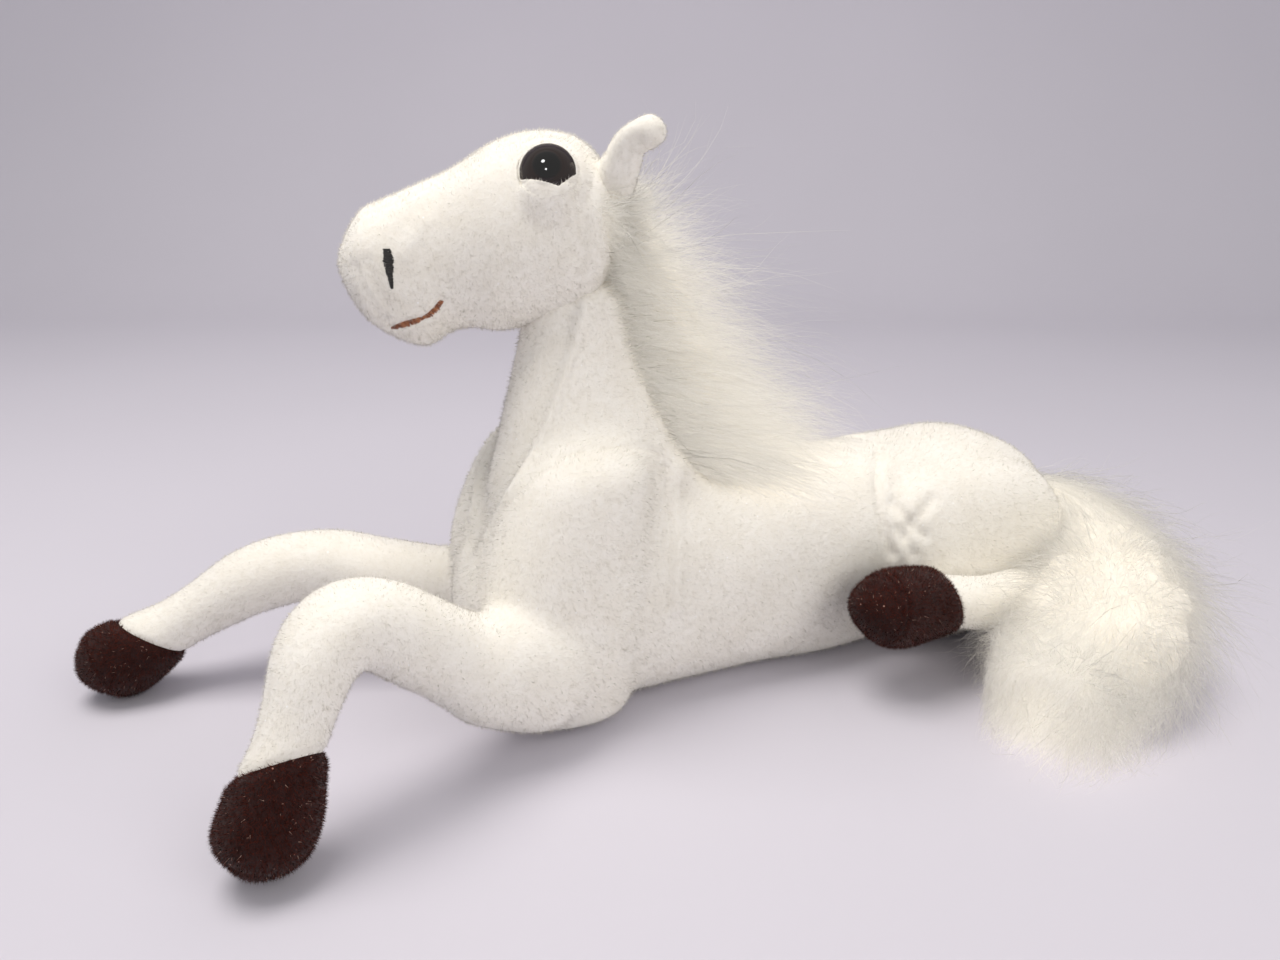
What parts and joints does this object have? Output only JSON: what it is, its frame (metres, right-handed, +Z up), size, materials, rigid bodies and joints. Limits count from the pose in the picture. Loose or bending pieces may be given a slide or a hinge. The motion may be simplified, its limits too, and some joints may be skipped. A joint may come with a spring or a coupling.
{
  "type": "plush horse",
  "caption": "Lying plush horse with outstretched forelegs, tucked hind legs, raised head, standing mane and long-fur tail; stuffed limbs bend at sewn joints.",
  "frame": {"origin": "on the floor under the chest, midway between the shoulders, at the centre of the flat chest rest", "axes": "+X from the chest towards the rump, along the lying length; +Y to the horse's right side; +Z up"},
  "size_m": [0.5066, 0.2407, 0.2568],
  "materials": {
    "white_plush": "short cream-white pile plush, worn soft",
    "brown_plush": "short dark brown pile plush",
    "long_fur": "long tousled cream fur pile",
    "filling": "white polyester fibre filling",
    "eye": "polished near-black brown moulded plastic",
    "washer": "moulded plain washer",
    "black_thread": "black satin stitch thread",
    "brown_thread": "brown stitch thread"
  },
  "bodies": {
    "torso": {"trunk_filling": "filling", "throat_gusset": "white_plush", "belly_gusset": "white_plush", "shoulder_left": "white_plush", "shoulder_right": "white_plush", "haunch_left": "white_plush", "haunch_right": "white_plush", "neck_side_left": "white_plush", "neck_side_right": "white_plush", "barrel_left": "white_plush", "barrel_right": "white_plush", "mane": "long_fur"},
    "head": {"forehead_gusset": "white_plush", "chin_gusset": "white_plush", "cheek_left": "white_plush", "cheek_right": "white_plush", "head_filling": "filling", "eye_left": "eye", "eye_right": "eye", "washer_left": "washer", "washer_right": "washer", "nostril_left": "black_thread", "nostril_right": "black_thread", "mouth_stitch": "brown_thread"},
    "tail": {"tail": "long_fur"},
    "ear_left": {"ear_inner_left": "white_plush", "ear_outer_left": "white_plush"},
    "foreleg_left_upper": {"forearm_left": "white_plush", "forearm_filling_left": "filling"},
    "foreleg_left_lower": {"cannon_left": "white_plush", "hoof_left": "brown_plush", "sole_left": "brown_plush", "cannon_filling_left": "filling"},
    "hindleg_left": {"shank_left": "white_plush", "hind_hoof_left": "brown_plush", "hind_sole_left": "brown_plush", "shank_filling_left": "filling"},
    "ear_right": {"ear_inner_right": "white_plush", "ear_outer_right": "white_plush"},
    "foreleg_right_upper": {"forearm_right": "white_plush", "forearm_filling_right": "filling"},
    "foreleg_right_lower": {"cannon_right": "white_plush", "hoof_right": "brown_plush", "sole_right": "brown_plush", "cannon_filling_right": "filling"},
    "hindleg_right": {"shank_right": "white_plush", "hind_hoof_right": "brown_plush", "hind_sole_right": "brown_plush", "shank_filling_right": "filling"}
  },
  "joints": [
    {"name": "head_nod", "type": "hinge", "parent": "torso", "child": "head", "pos_m": [0.02813, 0.00655, 0.19643], "axis": [0.2756, 0.9613, 0], "range_deg": [-12, 12], "stiffness_Nm_per_rad": 0.8},
    {"name": "ear_left_flop", "type": "hinge", "parent": "head", "child": "ear_left", "pos_m": [0.04289, -0.01329, 0.21775], "axis": [-0.9613, 0.2756, 0], "range_deg": [-20, 20], "stiffness_Nm_per_rad": 0.05},
    {"name": "foreleg_left_lift", "type": "hinge", "parent": "torso", "child": "foreleg_left_upper", "pos_m": [-0.02276, -0.04398, 0.03467], "axis": [0, 1, 0], "range_deg": [-8, 25], "stiffness_Nm_per_rad": 0.5},
    {"name": "foreleg_left_knee", "type": "hinge", "parent": "foreleg_left_upper", "child": "foreleg_left_lower", "pos_m": [-0.09323, -0.06089, 0.07909], "axis": [0, 1, 0], "range_deg": [-12, 40], "stiffness_Nm_per_rad": 0.4},
    {"name": "hindleg_left_lift", "type": "hinge", "parent": "torso", "child": "hindleg_left", "pos_m": [0.232, -0.06182, 0.031], "axis": [0, 1, 0], "range_deg": [-8, 16], "stiffness_Nm_per_rad": 0.4},
    {"name": "ear_right_flop", "type": "hinge", "parent": "head", "child": "ear_right", "pos_m": [0.05116, 0.01555, 0.21775], "axis": [0.9613, -0.2756, 0], "range_deg": [-20, 20], "stiffness_Nm_per_rad": 0.05},
    {"name": "foreleg_right_lift", "type": "hinge", "parent": "torso", "child": "foreleg_right_upper", "pos_m": [-0.02276, 0.04398, 0.03467], "axis": [0, 1, 0], "range_deg": [-8, 25], "stiffness_Nm_per_rad": 0.5},
    {"name": "foreleg_right_knee", "type": "hinge", "parent": "foreleg_right_upper", "child": "foreleg_right_lower", "pos_m": [-0.10453, 0.06436, 0.04577], "axis": [0, 1, 0], "range_deg": [-40, 12], "stiffness_Nm_per_rad": 0.4},
    {"name": "hindleg_right_lift", "type": "hinge", "parent": "torso", "child": "hindleg_right", "pos_m": [0.232, 0.06182, 0.031], "axis": [0, 1, 0], "range_deg": [-8, 16], "stiffness_Nm_per_rad": 0.4},
    {"name": "tail_lift", "type": "hinge", "parent": "torso", "child": "tail", "pos_m": [0.28315, -0.00276, 0.0688], "axis": [-1, 0, 0], "range_deg": [-5, 35]}
  ]
}
